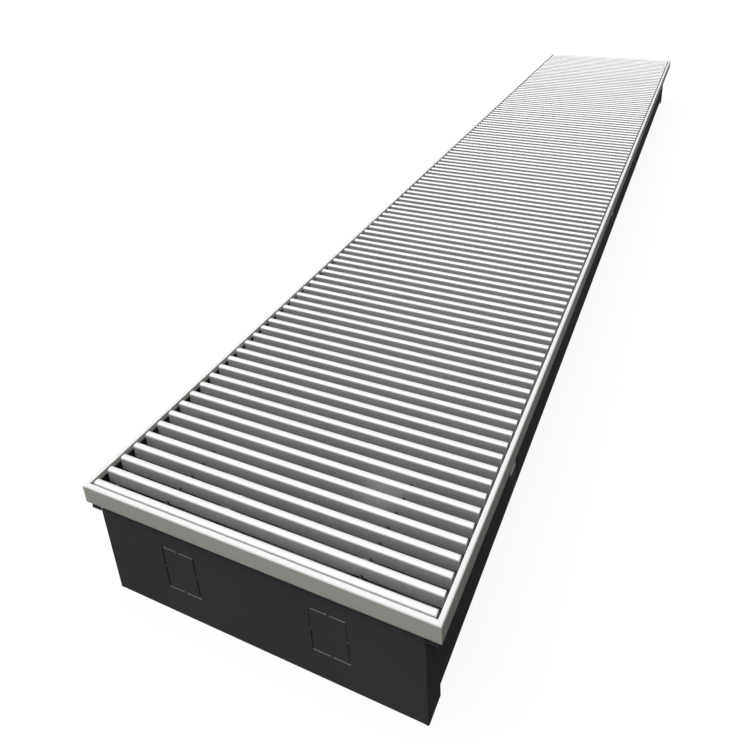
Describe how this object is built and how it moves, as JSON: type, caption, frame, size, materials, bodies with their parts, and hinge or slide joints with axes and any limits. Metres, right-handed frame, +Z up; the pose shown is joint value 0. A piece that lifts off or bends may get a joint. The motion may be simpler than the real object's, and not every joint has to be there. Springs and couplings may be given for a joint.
{
  "type": "trench convector heater",
  "caption": "Floor trench convector: folded steel trough and end panels, aluminium frame, lift-out bar grille, finned water exchanger, valves and levelling feet.",
  "frame": {"origin": "on the trench floor, under the middle of the frame", "axes": "+X across the trough, +Y along it away from the pipe end, +Z up"},
  "size_m": [0.3, 1.6, 0.108],
  "materials": {
    "dark_painted_steel": "anthracite powder coat, fine grained, satin",
    "anodised_aluminium": "natural anodised extrusion, fine lines along its length",
    "fin_aluminium": "mill finish sheet",
    "copper_tube": "drawn copper, dulled",
    "nickel_plated_brass": "nickel plated, satin",
    "zinc_plated_steel": "galvanised or zinc plated, bright",
    "damping_rubber": "black, matt",
    "white_plastic": "moulded, matt white"
  },
  "bodies": {
    "casing": {"trough": "dark_painted_steel", "end_panel_front": "dark_painted_steel", "end_panel_rear": "dark_painted_steel", "frame_rail_front": "anodised_aluminium", "frame_rail_right": "anodised_aluminium", "frame_rail_rear": "anodised_aluminium", "frame_rail_left": "anodised_aluminium", "fin_pack": "fin_aluminium", "hairpin_supply": "copper_tube", "hairpin_return": "copper_tube", "return_bend": "copper_tube", "supply_valve_body": "nickel_plated_brass", "return_valve_body": "nickel_plated_brass", "supply_union_nut": "nickel_plated_brass", "return_union_nut": "nickel_plated_brass", "vent_body": "nickel_plated_brass", "corner_key_1": "zinc_plated_steel", "corner_key_2": "zinc_plated_steel", "corner_key_3": "zinc_plated_steel", "corner_key_4": "zinc_plated_steel", "cross_brace_1": "zinc_plated_steel", "cross_brace_2": "zinc_plated_steel", "exchanger_plate_front": "zinc_plated_steel", "exchanger_plate_rear": "zinc_plated_steel", "exchanger_saddle": "zinc_plated_steel", "foot_bracket_right_1": "zinc_plated_steel", "foot_bracket_right_2": "zinc_plated_steel", "foot_bracket_right_3": "zinc_plated_steel", "foot_bracket_left_1": "zinc_plated_steel", "foot_bracket_left_2": "zinc_plated_steel", "foot_bracket_left_3": "zinc_plated_steel", "damping_strip_left": "damping_rubber", "damping_strip_right": "damping_rubber"},
    "grille_front": {"grille_front_section": "anodised_aluminium"},
    "grille_rear": {"grille_rear_section": "anodised_aluminium"},
    "supply_cap": {"supply_valve_cap": "white_plastic"},
    "return_cap": {"return_valve_cap": "white_plastic"},
    "vent_key": {"vent_screw": "nickel_plated_brass"},
    "pad_right_1": {"foot_pad_right_1": "damping_rubber"},
    "screw_right_1": {"foot_screw_right_1": "zinc_plated_steel"},
    "pad_right_2": {"foot_pad_right_2": "damping_rubber"},
    "screw_right_2": {"foot_screw_right_2": "zinc_plated_steel"},
    "pad_right_3": {"foot_pad_right_3": "damping_rubber"},
    "screw_right_3": {"foot_screw_right_3": "zinc_plated_steel"},
    "pad_left_1": {"foot_pad_left_1": "damping_rubber"},
    "screw_left_1": {"foot_screw_left_1": "zinc_plated_steel"},
    "pad_left_2": {"foot_pad_left_2": "damping_rubber"},
    "screw_left_2": {"foot_screw_left_2": "zinc_plated_steel"},
    "pad_left_3": {"foot_pad_left_3": "damping_rubber"},
    "screw_left_3": {"foot_screw_left_3": "zinc_plated_steel"}
  },
  "joints": [
    {"name": "front_section_lift", "type": "slide", "parent": "casing", "child": "grille_front", "axis": [0, 0, 1], "range_m": [0, 0.15]},
    {"name": "rear_section_lift", "type": "slide", "parent": "casing", "child": "grille_rear", "axis": [0, 0, 1], "range_m": [0, 0.15]},
    {"name": "supply_cap_turn", "type": "hinge", "parent": "casing", "child": "supply_cap", "pos_m": [0.065, -0.719, 0.07], "axis": [0, 0, 1], "range_deg": [0, 540]},
    {"name": "return_cap_turn", "type": "hinge", "parent": "casing", "child": "return_cap", "pos_m": [-0.065, -0.719, 0.07], "axis": [0, 0, 1], "range_deg": [0, 1080]},
    {"name": "vent_screw_turn", "type": "hinge", "parent": "casing", "child": "vent_key", "pos_m": [0, -0.64367, 0.07], "axis": [0, 0, 1], "range_deg": [0, 540]},
    {"name": "pad_drop_right_1", "type": "slide", "parent": "casing", "child": "pad_right_1", "axis": [0, 0, -1], "range_m": [0, 0.025]},
    {"name": "screw_turn_right_1", "type": "hinge", "parent": "pad_right_1", "child": "screw_right_1", "pos_m": [0.1227, -0.585, 0.03], "axis": [0, 0, -1], "range_deg": [0, 7200]},
    {"name": "pad_drop_right_2", "type": "slide", "parent": "casing", "child": "pad_right_2", "axis": [0, 0, -1], "range_m": [0, 0.025]},
    {"name": "screw_turn_right_2", "type": "hinge", "parent": "pad_right_2", "child": "screw_right_2", "pos_m": [0.1227, 0, 0.03], "axis": [0, 0, -1], "range_deg": [0, 7200]},
    {"name": "pad_drop_right_3", "type": "slide", "parent": "casing", "child": "pad_right_3", "axis": [0, 0, -1], "range_m": [0, 0.025]},
    {"name": "screw_turn_right_3", "type": "hinge", "parent": "pad_right_3", "child": "screw_right_3", "pos_m": [0.1227, 0.585, 0.03], "axis": [0, 0, -1], "range_deg": [0, 7200]},
    {"name": "pad_drop_left_1", "type": "slide", "parent": "casing", "child": "pad_left_1", "axis": [0, 0, -1], "range_m": [0, 0.025]},
    {"name": "screw_turn_left_1", "type": "hinge", "parent": "pad_left_1", "child": "screw_left_1", "pos_m": [-0.1227, -0.585, 0.03], "axis": [0, 0, -1], "range_deg": [0, 7200]},
    {"name": "pad_drop_left_2", "type": "slide", "parent": "casing", "child": "pad_left_2", "axis": [0, 0, -1], "range_m": [0, 0.025]},
    {"name": "screw_turn_left_2", "type": "hinge", "parent": "pad_left_2", "child": "screw_left_2", "pos_m": [-0.1227, 0, 0.03], "axis": [0, 0, -1], "range_deg": [0, 7200]},
    {"name": "pad_drop_left_3", "type": "slide", "parent": "casing", "child": "pad_left_3", "axis": [0, 0, -1], "range_m": [0, 0.025]},
    {"name": "screw_turn_left_3", "type": "hinge", "parent": "pad_left_3", "child": "screw_left_3", "pos_m": [-0.1227, 0.585, 0.03], "axis": [0, 0, -1], "range_deg": [0, 7200]}
  ],
  "couplings": [
    {"joint": "screw_turn_right_1", "follows": "pad_drop_right_1", "rad_per_m": 5026.5},
    {"joint": "screw_turn_right_2", "follows": "pad_drop_right_2", "rad_per_m": 5026.5},
    {"joint": "screw_turn_right_3", "follows": "pad_drop_right_3", "rad_per_m": 5026.5},
    {"joint": "screw_turn_left_1", "follows": "pad_drop_left_1", "rad_per_m": 5026.5},
    {"joint": "screw_turn_left_2", "follows": "pad_drop_left_2", "rad_per_m": 5026.5},
    {"joint": "screw_turn_left_3", "follows": "pad_drop_left_3", "rad_per_m": 5026.5}
  ]
}
